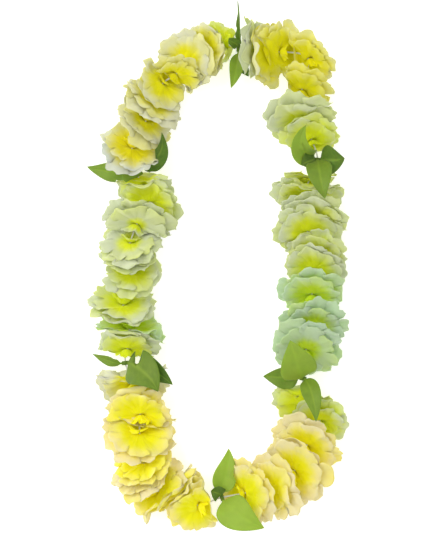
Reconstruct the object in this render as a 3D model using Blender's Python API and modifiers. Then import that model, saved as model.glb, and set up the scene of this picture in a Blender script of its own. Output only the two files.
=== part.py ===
"""Flower lei of fabric blossoms on a cord, laid down flat as a long oval.

Metres, +Z up. The lei lies on the table, z = 0, with its long axis along Y and the leaf that hides
the knot at the +Y end. Its origin is under the middle of its bounding box.
"""
import math

import bmesh
import bpy
from mathutils import Matrix, Vector

MM = 0.001

# The cord and what is threaded on it
CORD_RADIUS = 0.75 * MM
CORD_HEIGHT = 18.0 * MM          # the blossoms hold the cord this far above the table
CORD_STEPS = 2                   # straight stretches from one threaded piece to the next
KNOT_PLACE = (26.0, 198.0)       # mm, beside the top leaf
KNOT_HALF_LENGTH = 2.6 * MM
KNOT_HALF_WIDTH = 1.9 * MM
SPACER_OUTER = 2.2 * MM
SPACER_INNER = 1.3 * MM
SPACER_LENGTH = 6.0 * MM
RING_SIDES = 12                  # flats round a spacer or a collar
TOUCH_GAP = 0.3 * MM             # left between solids that meet
KNOT_SEGMENTS = 12
KNOT_RINGS = 8
KNOT_TURNS = 3
KNOT_RIDGE = 0.12                # how far a turn of cord stands out, as a share of the knot's width
MERGE_DISTANCE = 0.01 * MM

# A blossom's two fabric discs, taken together as one thick shallow cup
BLOSSOM_THICKNESS = 1.2 * MM
BLOSSOM_SIDES = 16               # a petal tip and a notch in turn
BLOSSOM_CUP = math.radians(22)
BLOSSOM_NOTCH = 0.10             # how far a notch cuts into the radius
BLOSSOM_RIM = 0.9                # the petal tips and notches lie outside this share of the radius
BLOSSOM_MID_RING = 0.55          # where the middle ring stands, as a share of the radius
BLOSSOM_LEAST_RING = 1.5         # the middle ring is at least this many bores out
BORE_CLEARANCE = 0.8 * MM
STEEPEST_SLANT = math.radians(78)   # the most that the cord may slant where it passes a bore

# A leaf spray's stamped leaves and the collar that the cord runs through
LEAF_THICKNESS = 1.0 * MM
LEAF_STEPS = 6
LEAF_BASE_HALF_WIDTH = 1.6 * MM
LEAF_TAPER = 0.7                 # how much of the base width is gone at the tip
LEAF_WIDEST = 0.85               # under 1 moves a leaf's widest place towards its base
LEAF_FULLNESS = 0.8              # under 1 makes a leaf's outline fuller
LEAF_TIP = 0.97                  # the outline ends this far along, so that the tip keeps some width
LEAF_ROOT = 2.6 * MM             # from the cord's middle to where a leaf starts
LEAF_RISE = 9.0 * MM             # how far a leaf runs straight out of its collar
LEAF_FOLD = 0.12                 # how far the edges stand above the midrib, as a share of the width
LEAF_AIM = 0.3                   # the share of the way to its tip that aims a leaf's root
LEAF_ROLL_DONE = 0.5             # a leaf's roll is complete this far along
LEAF_FREE_PART = 0.25            # nothing presses on the first quarter of a leaf
LEAF_LOOK = 0.02                 # step along a leaf that gives its direction
UPRIGHT = 0.05                   # a leaf steeper than this has no level width of its own
COLLAR_OUTER = 4.4 * MM
COLLAR_INNER = 1.3 * MM
COLLAR_LENGTH = 3.0 * MM

# Neighbours press on each other at a plane between them, and on the table
PLANE_CLEARANCE = 0.3 * MM
LEAF_PLANE_SHARE = 0.3           # where the plane to a leaf spray stands, from the blossom
LEAF_PASS = 6.0 * MM             # a leaf passes its neighbour's plane this far outside the neighbour's rim
TABLE_SNAP = 0.3 * MM            # an underside nearer than this lies flat on the table
PRESS_ROUNDS = 6                 # the planes and the table are met in turn this many times

# The origin stands under the middle of the bounding box
CENTRE_SHIFT = (1.45 * MM, 0.9 * MM)

# Each blossom or leaf spray in threading order, from the top leaf down the left side and up the right.
# Blossom: x, y, the way its open front points round from +X, how far that front lifts off the table,
# its radius, and its colour. Places and radii are in mm, angles in degrees.
THREADED = [
    ("leaf_top", 19, 198),
    (1, 197, 185, 35, 22, "green"),
    (-10, 198, 180, 40, 26, "cream"),
    (-22, 192, 170, 50, 29, "cream"),
    (-36, 180, 250, 40, 26, "cream"),
    (-54, 168, 235, 55, 30, "cream"),
    (-57, 149, 265, -25, 28, "cream"),
    (-66, 133, 245, 45, 28, "cream"),
    (-80, 109, 270, 50, 28, "white"),
    ("leaf_left_upper", -73, 90),
    (-70, 77, 270, -30, 25, "green"),
    (-62, 60, 230, 40, 26, "green"),
    (-75, 42, 262, 45, 29, "green"),
    (-79, 24, 270, 40, 28, "green"),
    (-79, 13, 270, -30, 29, "green"),
    (-78, -8, 272, -35, 30, "green"),
    (-86, -33, 268, -35, 31, "green"),
    (-85, -56, 275, -20, 28, "mint"),
    (-81, -66, 268, -35, 27, "green"),
    ("leaf_left_lower", -83, -85),
    (-84, -102, 268, 45, 27, "cream"),
    (-70, -133, 275, 75, 33, "yellow"),
    (-72, -154, 272, -30, 31, "yellow"),
    (-73, -176, 262, 35, 27, "yellow"),
    (-73, -190, 268, -30, 28, "yellow"),
    (-54, -203, 300, 50, 29, "yellow"),
    (-34, -201, 310, -25, 28, "yellow"),
    (-15, -216, 300, 60, 27, "yellow"),
    ("leaf_bottom", 4, -206),
    (27, -203, 330, 60, 28, "yellow"),
    (48, -196, 350, 40, 32, "yellow"),
    (71, -180, 250, 60, 31, "yellow"),
    (81, -158, 275, 45, 32, "yellow"),
    (91, -132, 300, 50, 25, "green"),
    (78, -120, 285, 50, 25, "yellow"),
    ("leaf_right_lower", 77, -99),
    (85, -75, 268, 40, 33, "mint"),
    (82, -48, 265, 40, 30, "mint"),
    (82, -23, 272, 45, 30, "mint"),
    (86, 0, 268, 45, 28, "mint"),
    (87, 18, 275, 35, 26, "green"),
    (79, 32, 250, 40, 26, "green"),
    (80, 45, 280, 45, 33, "green"),
    (79, 69, 270, 40, 32, "green"),
    (84, 85, 275, 40, 22, "green"),
    ("leaf_right_upper", 90, 98),
    (85, 119, 275, 50, 29, "green"),
    (72, 135, 262, 40, 34, "green"),
    (74, 161, 275, 50, 30, "cream"),
    (80, 188, 320, 55, 27, "cream"),
    (57, 196, 0, 40, 29, "cream"),
    (45, 195, 0, 35, 25, "cream"),
    (35, 198, 0, 40, 27, "green"),
]

# Each spray's leaves: where the tip lies (x, y, z in mm), how far the leaf bows sideways and upwards
# on its way (mm), half its width (mm) and how far it rolls about its midrib (degrees).
LEAVES = {
    "leaf_top": [
        (18, 240, 34, -2, 4, 4, 70),
        (12, 164, 12, 2, 3, 5, 20),
        (29, 176, 4, 1, 0, 6, -25),
        (9, 204, 26, 0, 3, 4, 0),
    ],
    "leaf_left_upper": [
        (-118, 92, 8, 3, 5, 8, 15),
        (-52, 121, 22, -13, 2, 7, -30),
        (-72, 81, 3, 0, 3, 11, 0),
    ],
    "leaf_left_lower": [
        (-113, -77, 12, 0, 5, 4.5, 20),
        (-54, -108, 34, 6, 10, 14, 0),
        (-42, -102, 10, 4, 4, 9, -30),
    ],
    "leaf_bottom": [
        (10, -162, 10, -5, 6, 9.5, 0),
        (41, -231, -14, -4, 6, 14, 0),
        (-5, -199, 14, 0, 3, 6, 10),
    ],
    "leaf_right_lower": [
        (65, -66, 38, 0, 6, 14, 0),
        (41, -97, 14, 0, 5, 9.5, 10),
        (88, -136, 34, 4, 8, 8, 0),
    ],
    "leaf_right_upper": [
        (79, 127, 34, 9, 5, 6, 15),
        (112, 100, 20, -3, 9, 10, -10),
        (96, 64, 44, -2, 18, 9, 0),
    ],
}

# A spacer is threaded between these two neighbours, counted along THREADED
SPACERS_AFTER = (15, 22, 36, 37, 38)

COLOURS = {
    "cream": (0.80, 0.74, 0.42),
    "white": (0.82, 0.80, 0.62),
    "green": (0.70, 0.76, 0.42),
    "mint": (0.60, 0.74, 0.50),
    "yellow": (0.86, 0.78, 0.30),
    "leaf": (0.16, 0.36, 0.04),
    "cord": (0.85, 0.85, 0.82),
    "tube": (0.75, 0.74, 0.60),
}


def clear_scene():
    """Start from an empty file."""
    for item in list(bpy.data.objects):
        bpy.data.objects.remove(item, do_unlink=True)


def make_material(name, colour, roughness):
    """One Principled material for one part."""
    material = bpy.data.materials.new(name)
    material.use_nodes = True
    shader = material.node_tree.nodes["Principled BSDF"]
    shader.inputs["Base Color"].default_value = (*colour, 1.0)
    shader.inputs["Roughness"].default_value = roughness
    shader.inputs["Metallic"].default_value = 0.0
    return material


def add_object(name, mesh, collection, colour, roughness=0.7):
    """A new object with a material of its own."""
    piece = bpy.data.objects.new(name, mesh)
    collection.objects.link(piece)
    piece.data.materials.clear()
    piece.data.materials.append(make_material(name, COLOURS[colour], roughness))
    return piece


def mesh_from(bm, name):
    """Turn a bmesh into a mesh and free it."""
    mesh = bpy.data.meshes.new(name)
    bm.to_mesh(mesh)
    bm.free()
    return mesh


def place(x, y, height=CORD_HEIGHT):
    """A point on the cord from a place in mm."""
    return Vector((x * MM + CENTRE_SHIFT[0], y * MM + CENTRE_SHIFT[1], height))


def front_direction(turn, lift):
    """The way an open front points, from its turn round +Z and its lift, both in degrees."""
    turn, lift = math.radians(turn), math.radians(lift)
    flat = math.cos(lift)
    return Vector((flat * math.cos(turn), flat * math.sin(turn), math.sin(lift)))


def curve_point(points, where):
    """A point on the smooth curve through all points, where = 0 at the first and 1 at the last."""
    step = where * (len(points) - 1)
    index = min(int(step), len(points) - 2)
    part = step - index
    a = points[max(index - 1, 0)]
    b, c = points[index], points[index + 1]
    d = points[min(index + 2, len(points) - 1)]
    slope_b, slope_c = (c - a) / 2, (d - b) / 2
    square, cube = part * part, part ** 3
    return (b * (2 * cube - 3 * square + 1) + slope_b * (cube - 2 * square + part)
            + c * (3 * square - 2 * cube) + slope_c * (cube - square))


def threaded_pieces():
    """All pieces on the cord as dictionaries, with their place, front and the cord's direction."""
    pieces = []
    for row in THREADED:
        if isinstance(row[0], str):
            pieces.append({"leaf": row[0], "centre": place(row[1], row[2])})
        else:
            x, y, turn, lift, radius, colour = row
            pieces.append({"leaf": None, "centre": place(x, y), "front": front_direction(turn, lift),
                           "radius": radius * MM, "colour": colour})
    count = len(pieces)
    for index, piece in enumerate(pieces):
        before = pieces[index - 1]["centre"]
        after = pieces[(index + 1) % count]["centre"]
        piece["along"] = (after - before).normalized()
        front = piece.get("front", piece["along"])
        piece["forward"] = front if front.dot(piece["along"]) > 0 else -front
    return pieces


def plane_between(first, second):
    """The plane that parts two neighbours: a point and a normal that points along the cord."""
    gap = (second["centre"] - first["centre"]).normalized()
    if first["leaf"]:
        share, normal = 1 - LEAF_PLANE_SHARE, second["forward"] + gap
    elif second["leaf"]:
        share, normal = LEAF_PLANE_SHARE, first["forward"] + gap
    else:
        share, normal = 0.5, first["forward"] + second["forward"]
    return first["centre"].lerp(second["centre"], share), normal.normalized()


def keep_inside(point, planes, half_thickness):
    """Push a point of a thin sheet back behind the planes and onto the table."""
    margin = half_thickness + PLANE_CLEARANCE / 2
    for _ in range(PRESS_ROUNDS):
        for stand, normal, centre, reach in planes:
            over = (point - stand).dot(normal) + margin
            if over > 0 and (point - centre).length < reach:
                point = point - normal * over
        point.z = max(point.z, half_thickness)
    return point


def neighbour_planes(pieces, index):
    """The two planes of a piece, their normals pointing away from it, and how far each neighbour reaches."""
    piece, before = pieces[index], pieces[index - 1]
    after = pieces[(index + 1) % len(pieces)]
    back_point, back_normal = plane_between(before, piece)
    front_point, front_normal = plane_between(piece, after)

    def reach(neighbour):
        return neighbour["radius"] + LEAF_PASS if piece["leaf"] else math.inf

    return [(back_point, -back_normal, before["centre"], reach(before)),
            (front_point, front_normal, after["centre"], reach(after))]


def thicken(piece, thickness):
    """Give a thin sheet its thickness, and press the underside flat on the table."""
    solidify = piece.modifiers.new("thickness", "SOLIDIFY")
    solidify.thickness = thickness
    solidify.offset = 0.0
    bpy.context.view_layer.update()
    mesh = bpy.data.meshes.new_from_object(piece.evaluated_get(bpy.context.evaluated_depsgraph_get()))
    piece.modifiers.clear()
    for vertex in mesh.vertices:
        if vertex.co.z < TABLE_SNAP:
            vertex.co.z = 0.0
    piece.data = mesh
    return piece


def bore_radius(piece):
    """A hole wide enough for the cord, which runs through the disc at a slant."""
    slant = piece["front"].angle(piece["along"])
    slant = min(slant, math.pi - slant) + BLOSSOM_CUP / 2
    slant = min(slant, STEEPEST_SLANT)
    return (BORE_CLEARANCE + CORD_RADIUS / math.cos(slant)
            + BLOSSOM_THICKNESS / 2 * math.tan(slant))


def make_blossom(name, piece, planes, collection):
    """A shallow scalloped cup, spun round its front axis, then tilted and pressed into place."""
    bm = bmesh.new()
    radius, bore = piece["radius"], bore_radius(piece)
    middle = max(radius * BLOSSOM_MID_RING, bore * BLOSSOM_LEAST_RING)
    profile = [bm.verts.new((r, 0, 0)) for r in (bore, middle, radius)]
    spine = [bm.edges.new(pair) for pair in zip(profile, profile[1:])]
    bmesh.ops.spin(bm, geom=profile + spine, axis=(0, 0, 1), cent=(0, 0, 0), angle=math.tau,
                   steps=BLOSSOM_SIDES, use_merge=True)
    bmesh.ops.remove_doubles(bm, verts=bm.verts, dist=MERGE_DISTANCE)
    bmesh.ops.recalc_face_normals(bm, faces=bm.faces)
    tilt = piece["front"].to_track_quat("Z", "Y")
    half = BLOSSOM_THICKNESS / 2
    for vertex in bm.verts:
        reach = vertex.co.xy.length
        angle = math.atan2(vertex.co.y, vertex.co.x)
        if reach > BLOSSOM_RIM * radius:
            reach *= 1 - BLOSSOM_NOTCH * (0.5 - 0.5 * math.cos(angle * BLOSSOM_SIDES / 2))
        outward = reach - (reach - bore) * (1 - math.cos(BLOSSOM_CUP))
        rise = (reach - bore) * math.sin(BLOSSOM_CUP)
        local = Vector((outward * math.cos(angle), outward * math.sin(angle), rise))
        vertex.co = keep_inside(piece["centre"] + tilt @ local, planes, half)
    blossom = add_object(name, mesh_from(bm, name), collection, piece["colour"])
    return thicken(blossom, BLOSSOM_THICKNESS)


def bezier(points, t):
    """A point on the cubic Bezier curve of four points."""
    a, b, c, d = points
    s = 1 - t
    return a * s ** 3 + b * (3 * s * s * t) + c * (3 * s * t * t) + d * t ** 3


def make_leaf(name, spray, leaf, planes, collection):
    """One leaf as a thin folded strip that runs out of the collar and bends over to its tip."""
    x, y, z, sideways, upwards, half_width, roll = leaf
    hub, along = spray["centre"], spray["along"]
    tip = place(x, y, z * MM)
    reach = tip - hub
    level = Vector((reach.x, reach.y, 0)).normalized()
    side = Vector((-level.y, level.x, 0))
    bow = side * sideways * MM + Vector((0, 0, upwards * MM))
    start = reach * LEAF_AIM + bow
    start = (start - along * start.dot(along)).normalized()
    first = hub + start * LEAF_ROOT
    second = hub + start * LEAF_RISE
    third = second.lerp(tip, 0.5) + bow
    path = (first, second, third, tip)
    bm = bmesh.new()
    bmesh.ops.create_grid(bm, x_segments=LEAF_STEPS, y_segments=2, size=1.0)
    for vertex in bm.verts:
        t = (vertex.co.x + 1) / 2
        across = vertex.co.y
        point = bezier(path, t)
        ahead = bezier(path, min(t + LEAF_LOOK, 1)) - bezier(path, max(t - LEAF_LOOK, 0))
        ahead = ahead.normalized()
        wide = ahead.cross(Vector((0, 0, 1)))
        wide = wide.normalized() if wide.length > UPRIGHT else side.cross(level)
        wide = Matrix.Rotation(math.radians(roll) * min(t / LEAF_ROLL_DONE, 1), 3, ahead) @ wide
        up = wide.cross(ahead)
        swell = math.sin(math.pi * min(t, LEAF_TIP) ** LEAF_WIDEST) ** LEAF_FULLNESS
        width = max(half_width * MM * swell, LEAF_BASE_HALF_WIDTH * (1 - LEAF_TAPER * t))
        point = point + wide * (across * width) + up * (abs(across) * width * LEAF_FOLD)
        if t > LEAF_FREE_PART:
            point = keep_inside(point, planes, LEAF_THICKNESS / 2)
        vertex.co = point
    strip = add_object(name, mesh_from(bm, name), collection, "leaf")
    return thicken(strip, LEAF_THICKNESS)


def spin_ring(inner, outer, length, centre, along):
    """A short tube round the cord, as a bmesh: a rectangle spun round the cord's direction."""
    bm = bmesh.new()
    corners = [(inner, -length / 2), (outer, -length / 2), (outer, length / 2), (inner, length / 2)]
    verts = [bm.verts.new((r, 0, z)) for r, z in corners]
    edges = [bm.edges.new((verts[i], verts[(i + 1) % 4])) for i in range(4)]
    bmesh.ops.spin(bm, geom=verts + edges, axis=(0, 0, 1), cent=(0, 0, 0), angle=math.tau,
                   steps=RING_SIDES, use_merge=True)
    bmesh.ops.remove_doubles(bm, verts=bm.verts, dist=MERGE_DISTANCE)
    bmesh.ops.recalc_face_normals(bm, faces=bm.faces)
    turn = along.to_track_quat("Z", "Y").to_matrix().to_4x4()
    bmesh.ops.transform(bm, matrix=Matrix.Translation(centre) @ turn, verts=bm.verts)
    return bm


def make_leaf_spray(spray, planes, collection, tools):
    """All leaves of one spray joined to the collar that the cord runs through."""
    name = spray["leaf"]
    ring = spin_ring(COLLAR_INNER, COLLAR_OUTER, COLLAR_LENGTH, spray["centre"], spray["along"])
    body = add_object(name, mesh_from(ring, name), collection, "leaf")
    for count, leaf in enumerate(LEAVES[name]):
        blade = make_leaf(f"{name}_blade_{count}", spray, leaf, planes, tools)
        blade.hide_render = True
        blade.display_type = "WIRE"
        union = body.modifiers.new(f"join_{count}", "BOOLEAN")
        union.operation = "UNION"
        union.solver = "EXACT"
        union.object = blade
    return body


def cord_stops(pieces):
    """Where the cord runs: from one side of the knot, through every piece, to its other side."""
    knot = place(*KNOT_PLACE)
    reach = Vector((KNOT_HALF_LENGTH + TOUCH_GAP, 0, 0))
    return [knot - reach] + [piece["centre"] for piece in pieces] + [knot + reach]


def make_cord(pieces, collection):
    """The cord: one open smooth tube through every piece, its ends at the knot."""
    stops = cord_stops(pieces)
    curve = bpy.data.curves.new("cord", "CURVE")
    curve.dimensions = "3D"
    curve.bevel_depth = CORD_RADIUS
    curve.bevel_resolution = 2
    curve.use_fill_caps = True
    spline = curve.splines.new("POLY")
    steps = (len(stops) - 1) * CORD_STEPS
    spline.points.add(steps)
    for index, point in enumerate(spline.points):
        point.co = (*curve_point(stops, index / steps), 1.0)
    return add_object("cord", curve, collection, "cord")


def make_knot(collection):
    """The knot that closes the cord: a small lump with three turns round it."""
    bm = bmesh.new()
    bmesh.ops.create_uvsphere(bm, u_segments=KNOT_SEGMENTS, v_segments=KNOT_RINGS, radius=1.0)
    for vertex in bm.verts:
        swell = 1 + KNOT_RIDGE * math.cos(KNOT_TURNS * math.pi * vertex.co.z)
        vertex.co = Vector((vertex.co.z * KNOT_HALF_LENGTH, vertex.co.x * KNOT_HALF_WIDTH * swell,
                            vertex.co.y * KNOT_HALF_WIDTH * swell)) + place(*KNOT_PLACE)
    return add_object("knot", mesh_from(bm, "knot"), collection, "cord")


def make_spacers(pieces, collection):
    """Short plastic tubes that hold neighbours apart."""
    stops = cord_stops(pieces)
    for number, index in enumerate(SPACERS_AFTER, 1):
        middle = curve_point(stops, (index + 1.5) / (len(stops) - 1))
        along = (stops[index + 2] - stops[index + 1]).normalized()
        tube = spin_ring(SPACER_INNER, SPACER_OUTER, SPACER_LENGTH, middle, along)
        name = f"spacer_{number}"
        add_object(name, mesh_from(tube, name), collection, "tube", roughness=0.4)


def main():
    clear_scene()
    collection = bpy.data.collections.new("flower_lei")
    tools = bpy.data.collections.new("cutters")
    bpy.context.scene.collection.children.link(collection)
    bpy.context.scene.collection.children.link(tools)
    pieces = threaded_pieces()
    number = 0
    for index, piece in enumerate(pieces):
        planes = neighbour_planes(pieces, index)
        if piece["leaf"]:
            make_leaf_spray(piece, planes, collection, tools)
        else:
            number += 1
            make_blossom(f"flower_{number:02d}", piece, planes, collection)
    make_cord(pieces, collection)
    make_knot(collection)
    make_spacers(pieces, collection)


main()
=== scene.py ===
"""Looks of the fabric flower lei: cloth blossoms, leaf sprays, cord, knot, spacers and the stage.

Metres, +Z up. The lei lies on z = 0 with its long axis along Y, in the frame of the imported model.
"""

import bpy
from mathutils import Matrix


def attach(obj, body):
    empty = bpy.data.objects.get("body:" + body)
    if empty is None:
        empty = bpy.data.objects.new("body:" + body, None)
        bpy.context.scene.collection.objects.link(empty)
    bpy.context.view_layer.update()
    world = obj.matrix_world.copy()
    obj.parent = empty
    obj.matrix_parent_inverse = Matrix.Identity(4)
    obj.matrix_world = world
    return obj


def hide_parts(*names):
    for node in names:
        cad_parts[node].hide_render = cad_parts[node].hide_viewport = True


bl_info = {
    "name": "Fabric Flower Lei",
    "version": (1, 0, 0),
    "blender": (4, 5, 0),
    "location": "3D Viewport > Sidebar > Lei",
    "description": "Cloth blossoms and leaves threaded on a cord, laid down as a long oval",
    "category": "Add Mesh",
}

import math

import bmesh
import bpy
import numpy as np
from bpy.props import FloatProperty, FloatVectorProperty, IntProperty, PointerProperty
from mathutils import Matrix, Vector

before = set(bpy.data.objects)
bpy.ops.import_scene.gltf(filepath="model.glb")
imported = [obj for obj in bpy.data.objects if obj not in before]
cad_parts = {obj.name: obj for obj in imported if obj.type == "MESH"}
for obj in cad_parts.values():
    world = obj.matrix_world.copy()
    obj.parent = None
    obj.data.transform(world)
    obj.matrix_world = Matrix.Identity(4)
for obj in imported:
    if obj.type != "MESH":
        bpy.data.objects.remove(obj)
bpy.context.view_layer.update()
BODY = "root"
MM = 0.001

# The photograph's longer side in pixels, and what a pixel spans at the height of the cord
PHOTO_HEIGHT = 537
PIXEL = 0.9 * MM

# The cord's route, as in the part's source
CORD_HEIGHT = 18.0 * MM
CENTRE_SHIFT = (1.45 * MM, 0.9 * MM)
KNOT_PLACE = (26.0, 198.0)
KNOT_REACH = 2.9 * MM            # from the knot's middle to where the cord starts
SPACERS_AFTER = (15, 22, 36, 37, 38)     # rows below, counted from 0, that a spacer follows

# Each blossom or leaf spray in threading order, from the top leaf down the left side and up the right.
# Blossom: x, y, the way its open front points round from +X, how far that front lifts off the table,
# its radius, how far out its yellow dye runs, and its rim colour. Places and radii are in mm, angles
# in degrees. Leaf spray: x, y, and how steeply it leans over the blossom before it and the one after it,
# in degrees; under 0, that blossom leans over the spray.
THREADED = [
    ("leaf_top", 19, 198, 20, 10),
    (4, 202, 57, 39, 27, 21, "green"),
    (-12, 196, 163, 61, 27, 18, "cream"),
    (-28, 187, 163, 73, 28, 15, "cream"),
    (-36, 176, 267, 36, 24, 16, "cream"),
    (-50, 166, 3, 59, 27, 16, "cream"),
    (-59, 150, 51, 28, 29, 16, "cream"),
    (-65, 132, 39, 41, 29, 14, "cream"),
    (-77, 107, 65, 53, 30, 19, "white"),
    ("leaf_left_upper", -73, 90, -35, 25),
    (-69, 76, 215, 52, 28, 17, "green"),
    (-61, 61, 238, 50, 28, 19, "green"),
    (-72, 41, 259, 45, 32, 8, "green"),
    (-79, 22, 114, 50, 29, 11, "green"),
    (-80, 12, 90, 34, 27, 9, "green"),
    (-77, -4, 85, 57, 27, 15, "green"),
    (-85, -34, 81, 42, 32, 18, "green"),
    (-79, -56, 74, 37, 31, 20, "mint"),
    (-81, -71, 263, 53, 28, 15, "green"),
    ("leaf_left_lower", -83, -85, -25, 45),
    (-77, -102, 256, 52, 33, 16, "cream"),
    (-70, -130, 255, 55, 32, 22, "yellow"),
    (-70, -149, 74, 56, 34, 20, "yellow"),
    (-67, -176, 115, 41, 27, 21, "yellow"),
    (-70, -189, 117, 43, 25, 8, "yellow"),
    (-52, -201, 150, 55, 30, 20, "yellow"),
    (-34, -200, 285, 50, 30, 20, "yellow"),
    (-19, -213, 280, 55, 30, 20, "yellow"),
    ("leaf_bottom", 4, -206, 0, 40),
    (26, -202, 200, 62, 31, 20, "yellow"),
    (49, -197, 198, 48, 31, 17, "yellow"),
    (70, -181, 215, 60, 34, 19, "yellow"),
    (81, -158, 235, 52, 32, 18, "yellow"),
    (92, -136, 245, 52, 27, 18, "green"),
    (77, -120, 240, 62, 28, 18, "green"),
    ("leaf_right_lower", 77, -99, 40, 45),
    (80, -72, 263, 55, 32, 13, "mint"),
    (87, -50, 268, 50, 30, 13, "mint"),
    (85, -22, 263, 44, 30, 18, "mint"),
    (87, 1, 250, 50, 29, 17, "green"),
    (90, 13, 239, 49, 28, 18, "green"),
    (81, 34, 293, 61, 30, 17, "green"),
    (88, 46, 248, 41, 32, 18, "green"),
    (81, 69, 274, 38, 32, 21, "green"),
    (83, 81, 287, 32, 25, 18, "green"),
    ("leaf_right_upper", 90, 98, 45, 20),
    (84, 117, 256, 57, 28, 20, "green"),
    (75, 134, 267, 32, 34, 16, "green"),
    (76, 162, 246, 40, 28, 23, "cream"),
    (81, 190, 229, 36, 28, 22, "cream"),
    (54, 195, 326, 52, 28, 23, "cream"),
    (46, 194, 13, 60, 29, 22, "cream"),
    (32, 199, 16, 35, 28, 8, "green"),
]

# Each spray's leaves: where the tip lies (x, y, z in mm), how far the leaf bows sideways and upwards
# on its way (mm), half its width (mm), how far it rolls about its midrib (degrees), how far its two
# halves fold up (degrees), and how light its green is, from 0 to 1; on a leaf that lies in shade, part
# of that darker green is painted shade.
LEAVES = {
    "leaf_top": [
        (18, 240, 34, -2, 4, 4, 70, 30, 0.15),
        (12, 162, 20, 2, 3, 7, 10, 10, 0.6),
        (28, 173, 12, 1, 3, 8, -15, 15, 0.1),
        (7, 206, 30, 0, 3, 5, 0, 15, 0.15),
    ],
    "leaf_left_upper": [
        (-118, 92, 8, 5, 5, 10, 15, 12, 0.45),
        (-50, 122, 26, -15, 4, 10, -30, 18, 0.1),
        (-66, 84, 16, -4, 3, 12, 0, 8, 0.5),
    ],
    "leaf_left_lower": [
        (-113, -77, 12, 0, 5, 4.5, 20, 15, 0.4),
        (-53, -110, 44, 8, 16, 17, 0, 8, 0.3),
        # Its own green, darkened further as painted shade: it lies behind and below the brighter leaf before
        # it.
        (-40, -104, 38, 6, 12, 13, -10, 10, 0.05),
    ],
    "leaf_bottom": [
        (10, -162, 14, -5, 6, 11, 0, 12, 0.85),
        (42, -232, 38, -4, 10, 16, 0, 6, 0.85),
        (-6, -200, 24, 0, 3, 8, 10, 20, 0.1),
    ],
    "leaf_right_lower": [
        (65, -64, 40, 0, 12, 17, 0, 6, 0.7),
        (41, -97, 18, 0, 5, 11, 10, 14, 0.35),
        (88, -137, 42, 4, 12, 9, 0, 8, 0.45),
    ],
    "leaf_right_upper": [
        (79, 128, 42, 15, 8, 12, 15, 25, 0.65),
        (114, 99, 28, -3, 9, 14, -5, 10, 0.15),
        (96, 62, 44, -2, 18, 12, 0, 12, 0.4),
        (75, 93, 30, 0, 5, 9, 0, 10, 0.1),
    ],
}


def srgb(hex_code):
    """An sRGB hex colour as linear numbers."""
    parts = [int(hex_code[i:i + 2], 16) / 255 for i in (0, 2, 4)]
    return tuple(c / 12.92 if c <= 0.04045 else ((c + 0.055) / 1.055) ** 2.4 for c in parts)


def length_prop(name, description, default):
    """A size in metres for the panel."""
    return FloatProperty(name=name, description=description, default=default, min=0.0,
                         unit="LENGTH", subtype="DISTANCE", precision=5)


def share_prop(name, description, default):
    """A share or a factor for the panel."""
    return FloatProperty(name=name, description=description, default=default, min=0.0, subtype="FACTOR")


def angle_prop(name, description, degrees):
    """An angle for the panel."""
    return FloatProperty(name=name, description=description, default=math.radians(degrees),
                         unit="ROTATION", subtype="ANGLE")


def colour_prop(name, description, hex_code):
    """A colour for the panel, from its sRGB hex code."""
    return FloatVectorProperty(name=name, description=description, default=srgb(hex_code),
                               min=0.0, max=1.0, subtype="COLOR")


class LeiCloth(bpy.types.PropertyGroup):
    """Sizes of the blossoms' cloth."""
    thickness: length_prop("Cloth Thickness", "Thickness of a stiffened petal cloth", 0.25 * MM)
    leaf_thickness: length_prop("Leaf Thickness", "Thickness of a leaf's coated cloth", 0.35 * MM)
    hub: length_prop("Hub", "Radius of a disc's middle, which lies square to the cord", 1.1 * MM)
    layer_gap: length_prop("Layer Gap", "Distance between a blossom's two discs on the cord", 0.8 * MM)
    outer_petals: IntProperty(name="Outer Petals", description="Petals of the larger disc", default=8, min=5)
    inner_petals: IntProperty(name="Inner Petals", description="Petals of the smaller disc and the heart",
                              default=7, min=5)
    inner_size: share_prop("Inner Size", "Radius of the smaller disc against the larger one", 0.86)
    heart_size: share_prop("Heart Size", "Radius of the crumpled middle against the larger disc", 0.42)
    slit: share_prop("Slit Start", "How far out the slits between petals start", 0.70)
    outer_cup: angle_prop("Outer Cup", "How steeply the larger disc opens", 6)
    inner_cup: angle_prop("Inner Cup", "How steeply the smaller disc opens", 20)
    heart_cup: angle_prop("Heart Cup", "How steeply the crumpled middle opens", 52)
    curl: share_prop("Rim Curl", "How far the rim curls back, in radians", 0.5)
    ruffle: share_prop("Ruffle", "Height of the waves at the rim against the radius", 0.065)


class LeiColours(bpy.types.PropertyGroup):
    """Dyes of the cloth, and the colours of the small parts."""
    cream: colour_prop("Cream Rim", "Rim of the cream blossoms", "D6D6B8")
    cream_dye: colour_prop("Cream Centre", "Middle of the cream blossoms", "E8E211")
    white: colour_prop("White Rim", "Rim of the white blossom", "CED3CC")
    white_dye: colour_prop("White Centre", "Middle of the white blossom", "E8DE14")
    green: colour_prop("Green Rim", "Rim of the pale green blossoms", "CED5B3")
    green_dye: colour_prop("Green Centre", "Middle of the pale green blossoms", "DCE622")
    mint: colour_prop("Mint Rim", "Rim of the mint blossoms", "C0D4B4")
    mint_dye: colour_prop("Mint Centre", "Middle of the mint blossoms", "C8E02C")
    yellow: colour_prop("Yellow Rim", "Rim of the yellow blossoms", "E8DEB2")
    yellow_dye: colour_prop("Yellow Centre", "Middle of the yellow blossoms", "FFF014")
    leaf_dark: colour_prop("Dark Leaf", "Darkest green of the leaves", "426306")
    leaf_light: colour_prop("Light Leaf", "Lightest green of the leaves", "A2BB38")
    cord: colour_prop("Cord", "Cotton cord and its knot", "F2F1EA")
    tube: colour_prop("Tube", "Spacer tubes", "E6E6CC")
    floor: colour_prop("Floor", "Light table that the lei lies on", "F8F8F8")


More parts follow.
